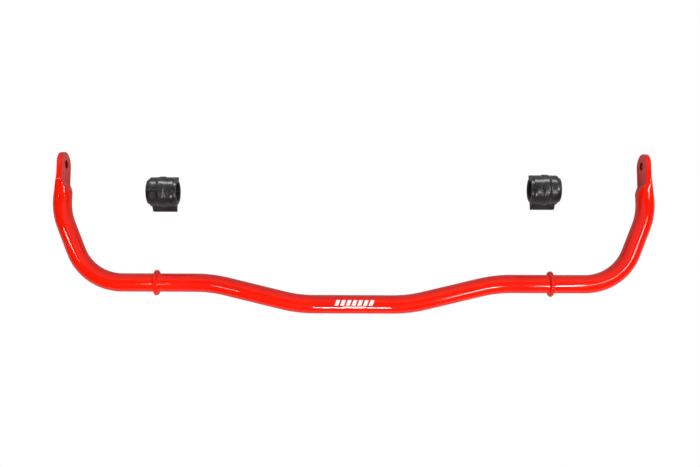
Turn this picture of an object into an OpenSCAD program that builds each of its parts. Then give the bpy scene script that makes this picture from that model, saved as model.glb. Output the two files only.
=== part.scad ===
// Sway bar with two stop rings and its pair of loose D-shaped rubber bushings.
// X runs along the bar, +Y points the way the arms do, +Z is up. The bar lies flat, as on a bench,
// on its rings and on the edges of its two paddle ends, and each bushing stands on its flat base.

/* [Bar] */
// Diameter of the round bar
bar_d = 28; // [20:0.5:36]
// Length of the middle run, from corner to corner
centre_len = 167; // [120:1:220]
// How far the middle run sits off the torsion axis
centre_dip = 32; // [20:1:45]
// Slope of the two runs that lead to the middle
dip_angle = 13.5; // [8:0.5:20]
// Centre-line radius of the four gentle bends
dip_r = 200; // [120:5:240]
// Length of a shoulder run, from corner to corner, along the torsion axis
shoulder_len = 188; // [156:1:240]

/* [Arms] */
// Centre-line radius of the main bend between shoulder and arm
main_bend_r = 81; // [56:1:90]
// Outward lean of the lower arm, away from +Y
arm_lean = 24; // [10:1:32]
// Distance from the torsion axis to the elbow corner
elbow_y = 107; // [96:1:140]
// Centre-line radius of the elbow
elbow_r = 100; // [70:5:120]
// Outward lean of the upper arm and its paddle
end_lean = 2; // [0:0.5:8]
// Distance from the elbow corner to the link hole, along the upper arm
upper_arm_len = 78.5; // [78:0.5:110]

/* [Paddle ends] */
// Thickness of the flattened end
paddle_t = 8.5; // [7:0.5:14]
// Width of the flattened end, which is also the diameter of its full round tip
paddle_w = 39; // [32:0.5:48]
// Flat length from the shoulder of the paddle to the link hole
flat_len = 29; // [24:1:31]
// Length over which the round bar becomes flat
blend_len = 27; // [20:1:28]
// Diameter of the link hole, for an M12 stud
hole_d = 12.5; // [8:0.25:16]

/* [Stop rings] */
// Outside diameter of a stop ring
ring_d = 39; // [34:0.5:50]
// Width of a stop ring along the bar
ring_w = 5.5; // [5:0.5:12]
// Radius on the two outer edges of a stop ring
ring_edge_r = 2.25; // [0.5:0.25:2.25]

/* [Bushings] */
// Length of a bushing over both round noses
bushing_len = 46; // [38:1:56]
// Length of the D-shaped body between the noses
body_len = 38; // [30:1:44]
// Radius of the round top of the body, about the bore
body_r = 22.5; // [21.5:0.25:27]
// Radius of the round noses, about the bore
nose_r = 19.2; // [18:0.1:19.4]
// Height of the bore's centre over the flat base
base_h = 19.5; // [19.5:0.5:24]
// Width of the base over its two sloped lips
base_w = 56; // [50:1:68]
// Height of a lip at its outer edge
lip_edge_h = 2; // [1:0.5:4]
// Height of a lip where it meets the side of the body
lip_root_h = 8; // [5:0.5:12]
// Width of the locating rib at its root
rib_root_w = 15; // [10:0.5:20]
// Width of the locating rib at its crest
rib_crest_w = 6; // [4:0.5:9]
// Height of the locating rib over the body
rib_h = 1.3; // [0.8:0.1:2]
// Radial clearance between bore and bar
bore_clearance = 0.1; // [0.02:0.02:0.4]
// Width of the slit that lets the bushing open over the bar
slit_w = 1.2; // [0.8:0.1:2]
// Gap between a seated bushing and its stop ring
ring_gap = 0.5; // [0.2:0.1:2]
// Straight bar left between a seated bushing and the main bend
bend_gap = 3; // [1:0.5:20]

/* [Loose bushings] */
// Distance of both loose bushings from the middle of the bar
loose_x = 297; // [250:1:330]
// Distance of the left bushing's bore from the torsion axis
loose_y_left = 142; // [100:0.5:150]
// Distance of the right bushing's bore from the torsion axis
loose_y_right = 147.5; // [100:0.5:150]

/* [Hidden] */
$fn = 96;
SMOOTH = 32;      // sides of the faceted blends between round bar and flat paddle
SLICE = 0.02;     // thickness of the slices that a blend is stretched between
OVER = 1;         // how far cuts run past a face
JOIN = 0.5;       // how far a straight is sunk into the bend it meets
BEND_GROW = 0.2;  // bends are this much thicker than straights, so that no two surfaces coincide
BLEND_GROW = 0.5; // the blend's round end is this much thicker than the bar, which stays inside it where they meet

RED = [0.86, 0.06, 0.02];
BLACK = [0.10, 0.10, 0.11];

// Half of the bar's corner points, from the middle outwards, on the torsion axis at y = 0.
slope_run = centre_dip / tan(dip_angle);
shoulder_x = centre_len / 2 + slope_run;
arm_x = shoulder_x + shoulder_len;
elbow = [arm_x + elbow_y * tan(arm_lean), elbow_y];
end_dir = [sin(end_lean), cos(end_lean)];
hole = elbow + upper_arm_len * end_dir;
round_end = hole - (flat_len + blend_len) * end_dir;
half_run = [[centre_len / 2, -centre_dip], [shoulder_x, 0], [arm_x, 0], elbow, round_end];
half_radii = [dip_r, dip_r, main_bend_r, elbow_r, 0];
last = len(half_run) - 1;
run = concat([for (i = [last:-1:0]) [-half_run[i].x, half_run[i].y]], half_run);
radii = concat([for (i = [last:-1:0]) half_radii[i]], half_radii);

// The bar lies on its rings and paddle edges.
axis_z = max(ring_d, paddle_w) / 2;
// The origin is under the middle of the bar's own outline.
front_y = -centre_dip - bar_d / 2;
back_y = hole.y + paddle_w / 2;
shift_y = -(front_y + back_y) / 2;

// A seated bushing ends short of the main bend, and its stop ring is on its inner side.
main_bend_start = arm_x - main_bend_r * tan((90 - arm_lean) / 2);
seat_x = main_bend_start - bend_gap - bushing_len / 2;
ring_x = seat_x - bushing_len / 2 - ring_gap - ring_w / 2;

function heading(a, b) = atan2(b.y - a.y, b.x - a.x);
function unit(a, b) = (b - a) / norm(b - a);
// Turn at corner i, positive to the left, and the length that its bend takes off each run.
function turn(i) = heading(run[i], run[i + 1]) - heading(run[i - 1], run[i]);
function trim(i) = i == 0 || i == len(run) - 1 ? 0 : radii[i] * tan(abs(turn(i)) / 2);

module straight(i) {
    dir = unit(run[i], run[i + 1]);
    start = run[i] + (trim(i) - JOIN) * dir;
    length = norm(run[i + 1] - run[i]) - trim(i) - trim(i + 1) + 2 * JOIN;
    translate([start.x, start.y, 0]) rotate([0, 0, heading(run[i], run[i + 1])])
        rotate([0, 90, 0]) cylinder(d = bar_d, h = length);
}

module bend(i) {
    side = turn(i) > 0 ? 1 : -1;
    into = heading(run[i - 1], run[i]);
    dir = unit(run[i - 1], run[i]);
    centre = run[i] - trim(i) * dir + side * radii[i] * [-dir.y, dir.x];
    first = side > 0 ? into - 90 : into + 90 + turn(i);
    translate([centre.x, centre.y, 0]) rotate([0, 0, first])
        rotate_extrude(angle = abs(turn(i))) translate([radii[i], 0])
            circle(d = bar_d + BEND_GROW);
}

// Flattened end: the link hole is at the origin, its axis along X, and the bar comes from -Y.
module paddle() {
    difference() {
        union() {
            translate([-paddle_t / 2, -flat_len, -paddle_w / 2]) cube([paddle_t, flat_len, paddle_w]);
            translate([-paddle_t / 2, 0, 0]) rotate([0, 90, 0]) cylinder(d = paddle_w, h = paddle_t);
        }
        translate([-paddle_t / 2 - OVER, 0, 0]) rotate([0, 90, 0])
            cylinder(d = hole_d, h = paddle_t + 2 * OVER);
    }
    hull() {
        translate([0, -flat_len - blend_len, 0]) rotate([90, 0, 0])
            cylinder(d = (bar_d + BLEND_GROW) / cos(180 / SMOOTH), h = SLICE, $fn = SMOOTH);
        translate([-paddle_t / 2, -flat_len - SLICE, -paddle_w / 2]) cube([paddle_t, SLICE, paddle_w]);
    }
}

module bar() {
    color(RED) translate([0, shift_y, axis_z]) {
        for (i = [0:len(run) - 2]) straight(i);
        for (i = [1:len(run) - 2]) bend(i);
        for (side = [0, 1]) mirror([side, 0, 0])
            translate([hole.x, hole.y, 0]) rotate([0, 0, -end_lean]) paddle();
    }
}

// Ring about the X axis, pressed on the bar, with both outer edges rounded.
module stop_ring() {
    outer = ring_d / 2;
    color(RED) rotate([0, 90, 0]) rotate_extrude() difference() {
        union() {
            translate([bar_d / 2, -ring_w / 2]) square([outer - ring_edge_r - bar_d / 2, ring_w]);
            translate([bar_d / 2, -ring_w / 2 + ring_edge_r])
                square([outer - bar_d / 2, ring_w - 2 * ring_edge_r]);
            for (side = [-1, 1])
                translate([outer - ring_edge_r, side * (ring_w / 2 - ring_edge_r)])
                    circle(r = ring_edge_r);
        }
        translate([0, -ring_w]) square([bar_d / 2, 2 * ring_w]);
    }
}

// Section of the D-shaped body, with the bore's centre at the origin and the base below it.
module body_section() {
    side = body_r;
    intersection() {
        circle(r = body_r);
        translate([-side, 0]) square([2 * side, side]);
    }
    translate([-side, -base_h]) square([2 * side, base_h]);
    polygon([[-base_w / 2, -base_h], [base_w / 2, -base_h], [base_w / 2, lip_edge_h - base_h],
        [side, lip_root_h - base_h], [-side, lip_root_h - base_h], [-base_w / 2, lip_edge_h - base_h]]);
}

// Half section of the locating rib, sunk a little into the body.
module rib_section() {
    polygon([[body_r - OVER, -rib_root_w / 2], [body_r, -rib_root_w / 2], [body_r + rib_h, -rib_crest_w / 2],
        [body_r + rib_h, rib_crest_w / 2], [body_r, rib_root_w / 2], [body_r - OVER, rib_root_w / 2]]);
}

// Bushing with its bore along X at the origin, round side up and slit towards -Y.
module bushing() {
    bore_r = bar_d / 2 + bore_clearance;
    color(BLACK) difference() {
        union() {
            translate([-body_len / 2, 0, 0]) rotate([90, 0, 90]) linear_extrude(body_len) body_section();
            translate([-bushing_len / 2, 0, 0]) rotate([0, 90, 0]) cylinder(r = nose_r, h = bushing_len);
            rotate([90, 0, 90]) rotate_extrude(angle = 180) rib_section();
            for (side = [0, 1]) mirror([0, side, 0]) translate([0, 0, lip_root_h - base_h])
                linear_extrude(base_h - lip_root_h) rotate(90) rib_section();
        }
        translate([-bushing_len / 2 - OVER, 0, 0]) rotate([0, 90, 0])
            cylinder(r = bore_r, h = bushing_len + 2 * OVER);
        translate([-bushing_len / 2 - OVER, -base_w, -slit_w / 2])
            cube([bushing_len + 2 * OVER, base_w, slit_w]);
    }
}

module stop_ring_left() translate([-ring_x, shift_y, axis_z]) stop_ring();
module stop_ring_right() translate([ring_x, shift_y, axis_z]) stop_ring();
module bushing_left() translate([-loose_x, loose_y_left + shift_y, base_h]) bushing();
module bushing_right() translate([loose_x, loose_y_right + shift_y, base_h]) bushing();

bar();
stop_ring_left();
stop_ring_right();
bushing_left();
bushing_right();
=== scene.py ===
# Sway bar with stop rings and loose rubber bushings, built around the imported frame.
import math

import bmesh
import bpy
from mathutils import Matrix, Vector


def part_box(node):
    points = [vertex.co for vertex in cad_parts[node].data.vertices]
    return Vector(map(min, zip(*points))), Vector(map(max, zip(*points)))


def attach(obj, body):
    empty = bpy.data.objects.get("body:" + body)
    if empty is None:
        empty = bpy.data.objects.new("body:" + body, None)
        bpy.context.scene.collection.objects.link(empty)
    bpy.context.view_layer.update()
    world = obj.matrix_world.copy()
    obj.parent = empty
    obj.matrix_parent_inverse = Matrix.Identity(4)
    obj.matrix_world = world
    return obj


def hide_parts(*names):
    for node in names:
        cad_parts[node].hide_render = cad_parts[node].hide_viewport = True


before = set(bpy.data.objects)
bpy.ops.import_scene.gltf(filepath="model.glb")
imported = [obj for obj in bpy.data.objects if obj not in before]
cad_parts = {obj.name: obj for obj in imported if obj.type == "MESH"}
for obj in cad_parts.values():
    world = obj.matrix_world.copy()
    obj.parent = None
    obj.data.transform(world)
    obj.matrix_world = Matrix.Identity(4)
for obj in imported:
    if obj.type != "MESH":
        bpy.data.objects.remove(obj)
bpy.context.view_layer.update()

MM = 0.001

# ---------------------------------------------------------------- sizes, in metres
bar_low, bar_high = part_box("bar")
ring_low, ring_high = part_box("stop_ring_right")

BAR_R = 14 * MM
CENTRE_LEN = 167 * MM      # middle run, corner to corner
CENTRE_DIP = 32 * MM       # middle run off the torsion axis
DIP_ANGLE = math.radians(13.5)
DIP_R = 200 * MM
SHOULDER_LEN = 188 * MM    # shoulder run, corner to corner
MAIN_BEND_R = 81 * MM
ARM_LEAN = math.radians(24)
ELBOW_Y = 107 * MM         # elbow corner off the torsion axis
ELBOW_R = 100 * MM
UPPER_ARM_LEN = 78.5 * MM  # elbow corner to the hole
END_LEAN = math.radians(2)
PADDLE_T = 8.5 * MM
PADDLE_EDGE_R = 1.6 * MM   # rounding along the paddle's long edges
FLAT_LEN = 29 * MM         # paddle's shoulder to the hole
BLEND_LEN = 27 * MM        # round bar to flat, on the inner face
OUTER_BLEND_LEN = 40 * MM  # round bar to flat, on the outer face
INNER_STEP_LEN = 18 * MM   # last stretch of the blend, where the inner face steps down
HOLE_R = 6.25 * MM
HOLE_CHAMFER = 0.7 * MM

AXIS_Z = (bar_low.z + bar_high.z) / 2
PADDLE_HALF_W = (bar_high.z - bar_low.z) / 2
TORSION_Y = (ring_low.y + ring_high.y) / 2

# ---------------------------------------------------------------- mesh helpers

MERGE = 0.002 * MM         # points closer than this are one point


def rot(angle, axis, centre=(0, 0, 0)):
    """Rotation matrix about an axis through a point."""
    shift = Matrix.Translation(Vector(centre))
    return shift @ Matrix.Rotation(angle, 4, axis) @ shift.inverted()


def piece(name, bm, material, body, nodes=(), sharp=35):
    """Finishes a bmesh as an object that rides on a body and stands for CAD nodes."""
    bmesh.ops.remove_doubles(bm, verts=bm.verts, dist=MERGE)
    bmesh.ops.recalc_face_normals(bm, faces=bm.faces)
    mesh = bpy.data.meshes.new(name)
    bm.to_mesh(mesh)
    bm.free()
    obj = bpy.data.objects.new(name, mesh)
    bpy.context.scene.collection.objects.link(obj)
    smooth(mesh, sharp)
    mesh.materials.append(material)
    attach(obj, body)
    if nodes:
        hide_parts(*nodes)
    return obj


def smooth(mesh, sharp):
    """Smooth shading, broken where faces meet at more than this many degrees."""
    mesh.polygons.foreach_set("use_smooth", [True] * len(mesh.polygons))
    mesh.set_sharp_from_angle(angle=math.radians(sharp))


def cut(obj, tools, sharp=35):
    """Cuts closed bmeshes out of a piece, for good."""
    for number, bm in enumerate(tools):
        mesh = bpy.data.meshes.new(f"cutter_{number}")
        bmesh.ops.recalc_face_normals(bm, faces=bm.faces)
        bm.to_mesh(mesh)
        bm.free()
        cutter = bpy.data.objects.new(mesh.name, mesh)
        bpy.context.scene.collection.objects.link(cutter)
        modifier = obj.modifiers.new("cut", "BOOLEAN")
        modifier.operation, modifier.solver, modifier.object = "DIFFERENCE", "EXACT", cutter
        bpy.context.view_layer.update()
        graph = bpy.context.evaluated_depsgraph_get()
        result = bpy.data.meshes.new_from_object(obj.evaluated_get(graph))
        old, obj.data = obj.data, result
        obj.modifiers.clear()
        bpy.data.objects.remove(cutter)
        result.name = old.name + "_cut"
        bpy.data.meshes.remove(old)
        smooth(obj.data, sharp)


def end_parts(geom):
    """The vertices and edges among an operator's results."""
    verts = [g for g in geom if isinstance(g, bmesh.types.BMVert)]
    inside = set(verts)
    edges = [g for g in geom if isinstance(g, bmesh.types.BMEdge) and inside.issuperset(g.verts)]
    return verts, edges


def extrude(bm, edges, move):
    """One straight step of an open edge loop; returns the new loop's vertices and edges."""
    verts, new = end_parts(bmesh.ops.extrude_edge_only(bm, edges=edges)["geom"])
    bmesh.ops.translate(bm, verts=verts, vec=move)
    return verts, new


def spun(profile, axis, centre, steps=64, closed=False):
    """Solid of revolution from profile points (along the axis, off the axis) about an axis through centre."""
    bm = bmesh.new()
    side = Vector((0, 0, 1))
    points = [bm.verts.new(Vector(centre) + along * Vector(axis) + off * side) for along, off in profile]
    ends = [(points[-1], points[0])] if closed else []
    edges = [bm.edges.new(pair) for pair in list(zip(points, points[1:])) + ends]
    bmesh.ops.spin(bm, geom=points + edges, cent=centre, axis=axis, dvec=(0, 0, 0),
                   angle=2 * math.pi, steps=steps, use_merge=True, use_duplicate=False)
    bmesh.ops.remove_doubles(bm, verts=bm.verts, dist=MERGE)
    return bm


# ---------------------------------------------------------------- the bar

RING_SIDES = 64            # points round the bar
TIP_STEPS = 36             # steps round each paddle's tip
HOLE_SIDES = 48
CUT_PAST = 1 * MM          # how far a cutter goes past the face it cuts
SAME_LEVEL = 0.001 * MM


def corner_points():
    """Corners of the right half's route, from the middle outwards, and each corner's bend radius."""
    shoulder_x = CENTRE_LEN / 2 + CENTRE_DIP / math.tan(DIP_ANGLE)
    arm_x = shoulder_x + SHOULDER_LEN
    elbow = Vector((arm_x + ELBOW_Y * math.tan(ARM_LEAN), TORSION_Y + ELBOW_Y, AXIS_Z))
    upper = Vector((math.sin(END_LEAN), math.cos(END_LEAN), 0))
    hole = elbow + upper * UPPER_ARM_LEN
    points = [
        Vector((0, TORSION_Y - CENTRE_DIP, AXIS_Z)),
        Vector((CENTRE_LEN / 2, TORSION_Y - CENTRE_DIP, AXIS_Z)),
        Vector((shoulder_x, TORSION_Y, AXIS_Z)),
        Vector((arm_x, TORSION_Y, AXIS_Z)),
        elbow,
        hole - upper * (FLAT_LEN + BLEND_LEN),
    ]
    return points, [0, DIP_R, DIP_R, MAIN_BEND_R, ELBOW_R, 0], hole, upper


POINTS, RADII, HOLE, UPPER = corner_points()
ACROSS = Vector((UPPER.y, -UPPER.x, 0))  # the hole's axis, pointing outwards


def run_along(bm, verts, edges, points, radii, step=12 * MM, turn_step=math.radians(2.5)):
    """Sweeps an open ring along straight runs and arcs between corner points."""
    ahead = (points[1] - points[0]).normalized()
    here = points[0].copy()
    for i in range(1, len(points)):
        last = i == len(points) - 1
        after = ahead if last else (points[i + 1] - points[i]).normalized()
        turn = math.atan2(ahead.cross(after).z, ahead.dot(after))
        trim = 0 if last else radii[i] * math.tan(abs(turn) / 2)
        there = points[i] - ahead * trim
        count = max(1, round((there - here).length / step))
        for _ in range(count):
            verts, edges = extrude(bm, edges, (there - here) / count)
        if not last:
            side = math.copysign(1, turn)
            centre = there + Vector((-ahead.y, ahead.x, 0)) * side * radii[i]
            steps = math.ceil(abs(turn) / turn_step)
            spin = bmesh.ops.spin(bm, geom=verts + edges, cent=centre, axis=(0, 0, side), dvec=(0, 0, 0),
                                  angle=abs(turn), steps=steps, use_merge=False, use_duplicate=False)
            verts, edges = end_parts(spin["geom_last"])
            here, ahead = points[i] + after * trim, after
    return verts, edges


def ease(t):
    t = min(max(t, 0), 1)
    return t * t * (3 - 2 * t)


def forge(t):
    """Eases in, then still slopes steeply where it meets the flat, as a forging die leaves it."""
    return min(max(t, 0), 1) ** 2


def flat_section(angle):
    """Where the ring's point at an angle from the thickness axis lands on the flat end's rounded outline."""
    half_t, half_w, r = PADDLE_T / 2, PADDLE_HALF_W, PADDLE_EDGE_R
    face, edge, quarter = 0.5, 0.875, math.pi / 2
    across, up = abs(math.cos(angle)), abs(math.sin(angle))
    share = math.atan2(up, across) / quarter
    if share <= face:
        u, w = half_t, (half_w - r) * share / face
    elif share <= edge:
        corner = (share - face) / (edge - face) * quarter
        u, w = half_t - r + r * math.cos(corner), half_w - r + r * math.sin(corner)
    else:
        u, w = (half_t - r) * (1 - share) / (1 - edge), half_w
    return math.copysign(u, math.cos(angle)), math.copysign(w, math.sin(angle))


def reshape(verts, centre, distance):
    """Turns a round ring into the section that the forging has at this distance from the blend's start."""
    outer, wide = ease(distance / OUTER_BLEND_LEN), ease(distance / (1.15 * BLEND_LEN))
    inner = forge((distance - BLEND_LEN) / INNER_STEP_LEN + 1)
    for vert in verts:
        off = vert.co - centre
        angle = math.atan2(off.z, off.dot(ACROSS))
        flat_u, flat_w = flat_section(angle)
        share = outer if flat_u > 0 else inner
        u = (1 - share) * BAR_R * math.cos(angle) + share * flat_u
        w = (1 - wide) * BAR_R * math.sin(angle) + wide * flat_w
        vert.co = centre + ACROSS * u + Vector((0, 0, w)) + UPPER * off.dot(UPPER)


def paddle_end(bm, verts, edges):
    """Flattens the bar beyond its last round ring and closes it with a full round tip about the hole."""
    start = POINTS[-1]
    total = FLAT_LEN + BLEND_LEN
    stations = [d * MM for d in (1, 2.5, 4.5, 7, 9.5, 12, 13.5, 15, 16.5, 18,
                                 19.5, 21, 22.5, 24, 25, 26, 26.5)]
    stations += [BLEND_LEN, BLEND_LEN + 0.5 * MM] + [d * MM for d in (30, 33, 36, 40, 46, 51)] + [total]
    targets = sorted((v.co - start for v in verts), key=angle_about)
    before = 0
    for distance in stations:
        verts, edges = extrude(bm, edges, UPPER * (distance - before))
        centre = start + UPPER * distance
        ordered = sorted(verts, key=lambda v: angle_about(v.co - centre))
        for vert, target in zip(ordered, targets):
            vert.co = centre + target
        reshape(verts, centre, distance)
        before = distance
    upper_half = [e for e in edges if all(v.co.z >= AXIS_Z - SAME_LEVEL for v in e.verts)]
    points = list({v for e in upper_half for v in e.verts})
    bmesh.ops.spin(bm, geom=points + upper_half, cent=HOLE, axis=-ACROSS, dvec=(0, 0, 0),
                   angle=math.pi, steps=TIP_STEPS, use_merge=False, use_duplicate=False)


def angle_about(off):
    """Angle of a point on a ring about its centre, from the outward axis."""
    return math.atan2(off.z, off.dot(ACROSS))


def build_bar(material):
    bm = bmesh.new()
    circle = bmesh.ops.create_circle(bm, segments=RING_SIDES, radius=BAR_R,
                                     matrix=Matrix.Translation(POINTS[0]) @ rot(math.pi / 2, "Y"))
    verts = circle["verts"]
    edges = list({e for v in verts for e in v.link_edges})
    verts, edges = run_along(bm, verts, edges, POINTS, RADII)
    paddle_end(bm, verts, edges)
    bmesh.ops.remove_doubles(bm, verts=bm.verts, dist=MERGE)
    whole = bm.verts[:] + bm.edges[:] + bm.faces[:]
    bmesh.ops.mirror(bm, geom=whole, merge_dist=MERGE, axis="X")
    bar = piece("coated_bar", bm, material, "bar", ["bar"])
    half = PADDLE_T / 2
    end, mouth = half + CUT_PAST, HOLE_R + HOLE_CHAMFER + CUT_PAST
    profile = [(-end, 0), (-end, mouth), (-half + HOLE_CHAMFER, HOLE_R),
               (half - HOLE_CHAMFER, HOLE_R), (end, mouth), (end, 0)]
    holes = []
    for side in (1, -1):
        centre = Vector((HOLE.x * side, HOLE.y, HOLE.z))
        holes.append(spun(profile, Vector((ACROSS.x * side, ACROSS.y, 0)), centre, HOLE_SIDES))
    cut(bar, holes)
    return bar


# ---------------------------------------------------------------- stop rings

RING_EDGE_R = 2.2 * MM
BEAD_R = 0.45 * MM         # bead of lacquer at the foot of a ring
FOOT_SUNK = 0.4 * MM       # how far a ring's foot goes into the bar
RING_STEPS = 96


def build_ring(name, node, material):
    """Pressed ring: a flat band between rounded edges, with a bead of lacquer where it meets the bar."""
    low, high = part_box(node)
    centre = (low + high) / 2
    half_w, outer, edge = (high.x - low.x) / 2, (high.z - low.z) / 2, RING_EDGE_R
    turns = [math.radians(d) for d in range(0, 91, 15)]
    corner = [(half_w - edge + edge * math.sin(a), outer - edge + edge * math.cos(a)) for a in turns]
    foot = [(half_w + BEAD_R * (1 - math.cos(a)), BAR_R + BEAD_R * (1 - math.sin(a))) for a in turns]
    right = corner + foot + [(half_w + BEAD_R, BAR_R - FOOT_SUNK)]
    left = [(-along, off) for along, off in reversed(right)]
    bm = spun(left + right, (1, 0, 0), centre, RING_STEPS, closed=True)
    return piece(name, bm, material, "bar", [node])


# ---------------------------------------------------------------- bushings

BODY_R = 22.5 * MM        # round top of the body
BODY_HALF = 19 * MM       # half length of the body
NOSE_R = 19.2 * MM
BORE_R = 14.1 * MM
LIP_EDGE = 2 * MM
LIP_ROOT = 8 * MM
RIB_HALF_ROOT = 7.5 * MM
RIB_HALF_CREST = 3 * MM
RIB_H = 1.3 * MM
SLIT_W = 1.2 * MM
LIP_ROUNDING = 0.8 * MM
NOSE_FILLET = 0.3 * MM     # the nose flares this much where it meets the body
END_CHAMFER = 1.1 * MM     # on the body's ends
NOSE_EDGE = 0.9 * MM       # rounding of the nose's and bore's mouths


def rounded(points, radius, segments=4):
    """Polygon with its corners rounded by arcs."""
    out = []
    count = len(points)
    for i, point in enumerate(points):
        here = Vector(point)
        a = (Vector(points[i - 1]) - here).normalized()
        b = (Vector(points[(i + 1) % count]) - here).normalized()
        half = math.acos(max(-1, min(1, a.dot(b)))) / 2
        if half > math.radians(80):
            out.append(here)
            continue
        reach = radius / math.tan(half)
        middle = here + (a + b).normalized() * radius / math.sin(half)
        first, last = here + a * reach - middle, here + b * reach - middle
        for k in range(segments + 1):
            off = first.lerp(last, k / segments)
            out.append(middle + off.normalized() * radius)
    return out


def body_outline(base_h, base_w, top=48):
    """Body's outline about the bore's centre, and how much of the rib each of its points has."""
    arc = [Vector((BODY_R * math.cos(a), BODY_R * math.sin(a)))
           for a in (math.pi * k / top for k in range(top + 1))]
    left_side = [Vector((-BODY_R, -h * MM)) for h in (3, 6, 9)]
    lips = [(-BODY_R, LIP_ROOT - base_h), (-base_w / 2, LIP_EDGE - base_h), (-base_w / 2, -base_h),
            (base_w / 2, -base_h), (base_w / 2, LIP_EDGE - base_h), (BODY_R, LIP_ROOT - base_h)]
    lips = rounded([(-BODY_R, 0)] + lips + [(BODY_R, 0)], LIP_ROUNDING)
    lips = [p for p in lips if p.y < -10 * MM]
    base = [p for p in lips if p.x < 0], [p for p in lips if p.x >= 0]
    bottom = [Vector((x * MM, -base_h)) for x in range(-24, 25, 4)]
    right_side = [Vector((BODY_R, -h * MM)) for h in (9, 6, 3)]
    outline = arc + left_side + base[0] + bottom + base[1] + right_side
    lift = [1.0] * (len(arc) + 3) + [0.0] * (len(outline) - len(arc) - 6) + [1.0] * 3
    return outline, lift


def next_loop(bm, loop, edges, places):
    """Extrudes a closed loop once and puts each new vertex, in order, at its own place."""
    verts, new = end_parts(bmesh.ops.extrude_edge_only(bm, edges=edges)["geom"])
    fresh = set(verts)
    ahead = [next(e.other_vert(v) for e in v.link_edges if e.other_vert(v) in fresh) for v in loop]
    for vert, place in zip(ahead, places):
        vert.co = place
    return ahead, new


def build_bushing(name, node, material):
    """One ring of points per station: out through one nose, over the body, and back through the bore."""
    low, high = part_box(node)
    centre_x, centre_y = (low.x + high.x) / 2, (low.y + high.y) / 2
    base_h, base_w, half_len = AXIS_Z, high.y - low.y, (high.x - low.x) / 2
    outline, lift = body_outline(base_h, base_w)
    heading = [p.normalized() for p in outline]

    def circle(radius):
        return [d * radius for d in heading]

    def body(inset, rib):
        out = []
        for point, direction, share in zip(outline, heading, lift):
            scale = 1 - inset / point.length
            out.append(point * scale + direction * rib * share)
        return [Vector((p.x, max(p.y, -base_h))) for p in out]

    def rib_at(x):
        t = (RIB_HALF_ROOT - abs(x)) / (RIB_HALF_ROOT - RIB_HALF_CREST)
        return RIB_H * ease(t)

    chamfer, edge = END_CHAMFER, NOSE_EDGE
    sections = [(half_len - edge, circle(BORE_R)), (half_len, circle(BORE_R + edge)),
                (half_len, circle(NOSE_R - edge)),
                (half_len - 0.3 * edge, circle(NOSE_R - 0.3 * edge)), (half_len - edge, circle(NOSE_R)),
                (BODY_HALF + 0.5 * MM, circle(NOSE_R)), (BODY_HALF, circle(NOSE_R + NOSE_FILLET)),
                (BODY_HALF, body(chamfer, 0)), (BODY_HALF - 0.3 * chamfer, body(0.3 * chamfer, 0)),
                (BODY_HALF - chamfer, body(0, 0))]
    inner = [x * MM for x in (14, 10.5, 8, 7.5, 7, 6.5, 6, 5.5, 5, 4.5, 4, 3.5, 3, 2.5, 1)]
    sections += [(x, body(0, rib_at(x))) for x in inner]
    sections += [(-x, ring) for x, ring in reversed(sections)]
    bm = bmesh.new()
    places = [[(centre_x + x, centre_y + p.x, base_h + p.y) for p in ring] for x, ring in sections]
    loop = [bm.verts.new(place) for place in places[0]]
    edges = [bm.edges.new((vert, loop[k - 1])) for k, vert in enumerate(loop)]
    for ring in places[1:] + places[:1]:
        loop, edges = next_loop(bm, loop, edges, ring)
    bushing = piece(name, bm, material, node, [node], sharp=40)
    slit = bmesh.new()
    size = Matrix.Diagonal((high.x - low.x + 4 * MM, base_w, SLIT_W, 1))
    place = Matrix.Translation((centre_x, centre_y - base_w / 2, base_h))
    bmesh.ops.create_cube(slit, size=1, matrix=place @ size)
    cut(bushing, [slit], sharp=40)
    return bushing


# ---------------------------------------------------------------- centre mark

MARK_CENTRE_X = 1.5 * MM
MARK_HALF_LEN = 30 * MM
MARK_LIFT = 0.06 * MM
MARK_TILT = math.radians(-4)
DASHES = 7
DASH_W = 5.6 * MM
DASH_H = 8.6 * MM
DASH_UP = 2.2 * MM
DASH_SLANT = 3.2 * MM
LINE_LEN = 34 * MM
LINE_H = 1.6 * MM
LINE_DOWN = 4.6 * MM
INK_T = 0.05 * MM


def wrap(bm, tilt):
    """Bends a flat patch in X and Y round the middle of the bar, tilted from straight up."""
    axis = Vector((0, TORSION_Y - CENTRE_DIP, AXIS_Z))
    for vert in bm.verts:
        angle = vert.co.y / BAR_R + tilt
        r = BAR_R + MARK_LIFT + vert.co.z
        vert.co = Vector((vert.co.x, axis.y + r * math.sin(angle), axis.z + r * math.cos(angle)))


def build_mark(material):
    """A plain row of slanted dashes over a short line, printed on the middle of the bar."""
    bm = bmesh.new()
    pitch = 2 * MARK_HALF_LEN / DASHES
    for k in range(DASHES):
        x = MARK_CENTRE_X - MARK_HALF_LEN + (k + 0.5) * pitch
        grid = bmesh.ops.create_grid(bm, x_segments=1, y_segments=10, size=0.5)
        for vert in grid["verts"]:
            along = x + vert.co.x * DASH_W + vert.co.y * DASH_SLANT
            vert.co = Vector((along, vert.co.y * DASH_H + DASH_UP, 0))
    line = bmesh.ops.create_grid(bm, x_segments=12, y_segments=4, size=0.5)
    for vert in line["verts"]:
        vert.co = Vector((MARK_CENTRE_X + vert.co.x * LINE_LEN, vert.co.y * LINE_H - LINE_DOWN, 0))
    bmesh.ops.solidify(bm, geom=bm.faces[:], thickness=INK_T)
    wrap(bm, MARK_TILT)
    return piece("centre_mark", bm, material, "bar")


# ---------------------------------------------------------------- materials


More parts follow.
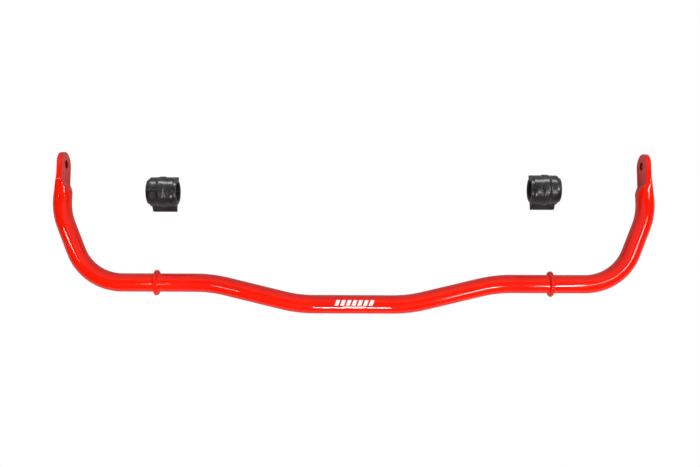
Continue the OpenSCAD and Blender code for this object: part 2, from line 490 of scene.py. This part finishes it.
class Wire:
    """A shader socket that can be added, taken away and multiplied in Python."""

    def __init__(self, tree, socket):
        self.tree, self.socket = tree, socket

    def math(self, operation, first, second):
        node = self.tree.nodes.new("ShaderNodeMath")
        node.operation = operation
        for slot, value in zip(node.inputs, (first, second)):
            plug(self.tree, slot, value)
        return Wire(self.tree, node.outputs[0])

    def __add__(self, other):
        return self.math("ADD", self, other)

    def __radd__(self, other):
        return self.math("ADD", other, self)

    def __sub__(self, other):
        return self.math("SUBTRACT", self, other)

    def __rsub__(self, other):
        return self.math("SUBTRACT", other, self)

    def __mul__(self, other):
        return self.math("MULTIPLY", self, other)

    def __rmul__(self, other):
        return self.math("MULTIPLY", other, self)


def plug(tree, slot, value):
    """Links a wire to a socket, or sets the socket's own value."""
    if isinstance(value, Wire):
        tree.links.new(value.socket, slot)
    else:
        slot.default_value = value


class Finish:
    """A material with one Principled shader."""

    def __init__(self, name):
        self.material = bpy.data.materials.new(name)
        self.material.use_nodes = True
        self.tree = self.material.node_tree
        self.shader = self.tree.nodes["Principled BSDF"]
        self.place = self.add("ShaderNodeTexCoord", output="Object")

    def add(self, kind, settings=None, inputs=None, output=0):
        node = self.tree.nodes.new(kind)
        for name, value in (settings or {}).items():
            setattr(node, name, value)
        for name, value in (inputs or {}).items():
            plug(self.tree, node.inputs[name], value)
        return Wire(self.tree, node.outputs[output])

    def vector(self, operation, first, second=(0, 0, 0), output=0):
        inputs = {0: first, 1: second}
        return self.add("ShaderNodeVectorMath", {"operation": operation}, inputs, output=output)

    def noise(self, scale, detail=2.0, roughness=0.5):
        return self.add("ShaderNodeTexNoise", None,
                        {"Vector": self.place, "Scale": scale, "Detail": detail, "Roughness": roughness})

    def mix(self, share, first, second):
        return self.add("ShaderNodeMix", {"data_type": "RGBA"}, {0: share, 6: first, 7: second}, output=2)

    def steps(self, value, low, high):
        """0 below low, 1 above high, smooth between."""
        return self.add("ShaderNodeMapRange", {"interpolation_type": "SMOOTHSTEP"},
                        {"Value": value, "From Min": low, "From Max": high})

    def bump(self, height, distance, strength=1.0):
        inputs = {"Height": height, "Distance": distance, "Strength": strength}
        return self.add("ShaderNodeBump", None, inputs)

    def set(self, **sockets):
        for name, value in sockets.items():
            plug(self.tree, self.shader.inputs[name.replace("_", " ")], value)
        return self.material


def powder_coat():
    """Gloss red powder coat: a faint orange peel, slight drifts of shade, painted shade inside the paddle
    holes and a clear gloss.
    """
    f = Finish("red_powder_coat")
    drift = f.noise(14, 3)
    peel = f.noise(420, 1.5, 0.45)
    ripple = f.noise(90, 1)
    grain = f.noise(2600, 2)
    # hole_shade_red is painted shade: a dark red put on the walls of the paddle holes in place of the shade
    # that falls inside them.
    deep, fresh, hole_shade_red = (0.82, 0.007, 0.0, 1), (0.90, 0.010, 0.0, 1), (0.16, 0.004, 0.004, 1)
    mirrored = f.vector("ABSOLUTE", f.place)
    bore = f.vector("DISTANCE", mirrored, tuple(HOLE), output="Value")
    coat = f.mix(f.steps(drift, 0.3, 0.7), deep, fresh)
    return f.set(
        # Painted shade: the coat turns dark red within about 7.4 to 7.9 mm of each hole's centre.
        Base_Color=f.mix(f.steps(bore, 7.9 * MM, 7.4 * MM), coat, hole_shade_red),
        Roughness=0.40 + 0.10 * grain,
        Normal=f.bump(peel * 0.6 + ripple * 0.5, 0.02 * MM),
        Coat_Weight=1.0, Coat_Roughness=0.03, Coat_IOR=1.5, Specular_IOR_Level=0.05)


def moulded_rubber():
    """Black moulded rubber with a satin skin, fine grain and a little bloom."""
    f = Finish("black_rubber")
    bloom = f.noise(55, 4, 0.6)
    grain = f.noise(2200, 3, 0.6)
    flow = f.noise(220, 2)
    dark, dusty = (0.012, 0.0115, 0.012, 1), (0.024, 0.0235, 0.025, 1)
    return f.set(
        Base_Color=f.mix(f.steps(bloom, 0.35, 0.75), dark, dusty),
        Roughness=0.22 + 0.12 * bloom,
        Normal=f.bump(grain * 0.2 + flow * 0.2, 0.008 * MM),
        Specular_IOR_Level=0.55)


def white_ink():
    """Screen-printed white ink, a little uneven."""
    f = Finish("white_ink")
    cover = f.noise(700, 3)
    return f.set(
        Base_Color=f.mix(f.steps(cover, 0.2, 0.6), (0.78, 0.74, 0.73, 1), (0.92, 0.91, 0.91, 1)),
        Roughness=0.3 + 0.15 * cover, Coat_Weight=0.4, Coat_Roughness=0.1)


# ---------------------------------------------------------------- stage, light and camera


def seen_and_unseen(tree, shown, unshown, target):
    """Shows the camera one shader and every other ray another, for the stage only."""
    nodes, links = tree.nodes, tree.links
    path, mix = nodes.new("ShaderNodeLightPath"), nodes.new("ShaderNodeMixShader")
    links.new(path.outputs["Is Camera Ray"], mix.inputs[0])
    links.new(unshown.outputs[0], mix.inputs[1])
    links.new(shown.outputs[0], mix.inputs[2])
    links.new(mix.outputs[0], target)


def build_stage():
    bm = bmesh.new()
    bmesh.ops.create_grid(bm, x_segments=1, y_segments=1, size=8)
    mesh = bpy.data.meshes.new("floor")
    bm.to_mesh(mesh)
    bm.free()
    floor = bpy.data.objects.new("floor", mesh)
    bpy.context.scene.collection.objects.link(floor)
    material = bpy.data.materials.new("pale_floor")
    material.use_nodes = True
    tree = material.node_tree
    tree.nodes.remove(tree.nodes["Principled BSDF"])
    white, matt = tree.nodes.new("ShaderNodeEmission"), tree.nodes.new("ShaderNodeBsdfDiffuse")
    white.inputs["Strength"].default_value = 1.0
    matt.inputs["Color"].default_value = (0.35, 0.35, 0.35, 1)
    seen_and_unseen(tree, white, matt, tree.nodes["Material Output"].inputs["Surface"])
    mesh.materials.append(material)

    world = bpy.data.worlds.new("studio")
    bpy.context.scene.world = world
    world.use_nodes = True
    tree = world.node_tree
    shown, dim = tree.nodes["Background"], tree.nodes.new("ShaderNodeBackground")
    shown.inputs["Color"].default_value = (1, 1, 1, 1)
    dim.inputs["Color"].default_value = (1, 1, 1, 1)
    dim.inputs["Strength"].default_value = 0.22
    world.cycles_visibility.glossy = False
    seen_and_unseen(tree, shown, dim, tree.nodes["World Output"].inputs["Surface"])


def panel(name, place, aim, width, height, radiance, mirrored=True):
    """A rectangular soft light at a place, facing a point; unmirrored ones never show in a glossy surface."""
    light = bpy.data.lights.new(name, "AREA")
    light.shape, light.size, light.size_y = "RECTANGLE", width, height
    light.energy = radiance * math.pi * width * height
    obj = bpy.data.objects.new(name, light)
    obj.location = place
    obj.rotation_euler = (Vector(aim) - Vector(place)).to_track_quat("-Z", "Y").to_euler()
    obj.visible_camera, obj.visible_glossy = False, mirrored
    bpy.context.scene.collection.objects.link(obj)
    return obj


CEILING = 3.0              # metres above the floor


def tube(name, start, end, width, radiance, height=CEILING):
    """A strip light that hangs flat between two points of the ceiling and shines straight down."""
    start, end = Vector((*start, height)), Vector((*end, height))
    run = end - start
    obj = panel(name, (start + end) / 2, (start + end) / 2 - Vector((0, 0, 1)), run.length, width, radiance)
    obj.rotation_euler = (0, 0, math.atan2(run.y, run.x))


def build_lights():
    tube("front_tube", (-0.32, -3.5), (0.32, -3.5), 0.9, 56)
    for number, (start, end, width, radiance) in enumerate((
            ((1.24, -2.30), (1.36, -1.66), 0.20, 46), ((1.29, -1.66), (1.38, -0.90), 0.08, 34),
            ((1.50, -0.85), (2.20, -0.45), 0.16, 36), ((2.22, -0.42), (2.24, 0.10), 0.20, 36),
            ((2.22, 0.10), (1.90, 0.55), 0.20, 36))):
        tube(f"right_tube_{number}", start, end, width, radiance)
    tube("left_tube", (-1.10, -1.30), (-1.22, -1.62), 0.15, 15)
    tube("left_arm_tube", (-1.45, 0.42), (-2.60, 0.22), 0.09, 22)
    panel("back_panel", (0, 2.45, 1.5), (0, 2.45 - 0.695, 1.5 - 0.719), 9, 4.3, 0.36)
    rubber_light = panel("rubber_light", (0, 2.1, 1.1), (0, 0, AXIS_Z), 2.4, 0.5, 14)
    only = bpy.data.collections.new("rubber_pieces")
    for name in ("left_bushing", "right_bushing"):
        only.objects.link(bpy.data.objects[name])
    rubber_light.light_linking.receiver_collection = only
    panel("key_panel", (0, -1.6, 2.6), (0, TORSION_Y, AXIS_Z), 4.0, 1.6, 2.1, mirrored=False)


CAMERA_PLACE = Vector((-5.65, -119.9, 1117.7)) * MM   # from the middle of the torsion axis
CAMERA_TILT = math.radians(10)
CAMERA_ROLL = math.radians(0.23)
SENSOR, LENS = 36, 37.8    # millimetres


def build_camera():
    data = bpy.data.cameras.new("camera")
    data.sensor_width = SENSOR
    data.lens = LENS
    camera = bpy.data.objects.new("camera", data)
    camera.location = CAMERA_PLACE + Vector((0, TORSION_Y, AXIS_Z))
    turn = Matrix.Rotation(CAMERA_TILT, 3, "X") @ Matrix.Rotation(CAMERA_ROLL, 3, "Z")
    camera.rotation_euler = turn.to_euler()
    bpy.context.scene.collection.objects.link(camera)
    bpy.context.scene.camera = camera


red, rubber, ink = powder_coat(), moulded_rubber(), white_ink()
build_bar(red)
build_ring("left_ring", "stop_ring_left", red)
build_ring("right_ring", "stop_ring_right", red)
build_bushing("left_bushing", "bushing_left", rubber)
build_bushing("right_bushing", "bushing_right", rubber)
build_mark(ink)
build_stage()
build_lights()
build_camera()
bpy.context.scene.view_settings.view_transform = "Standard"
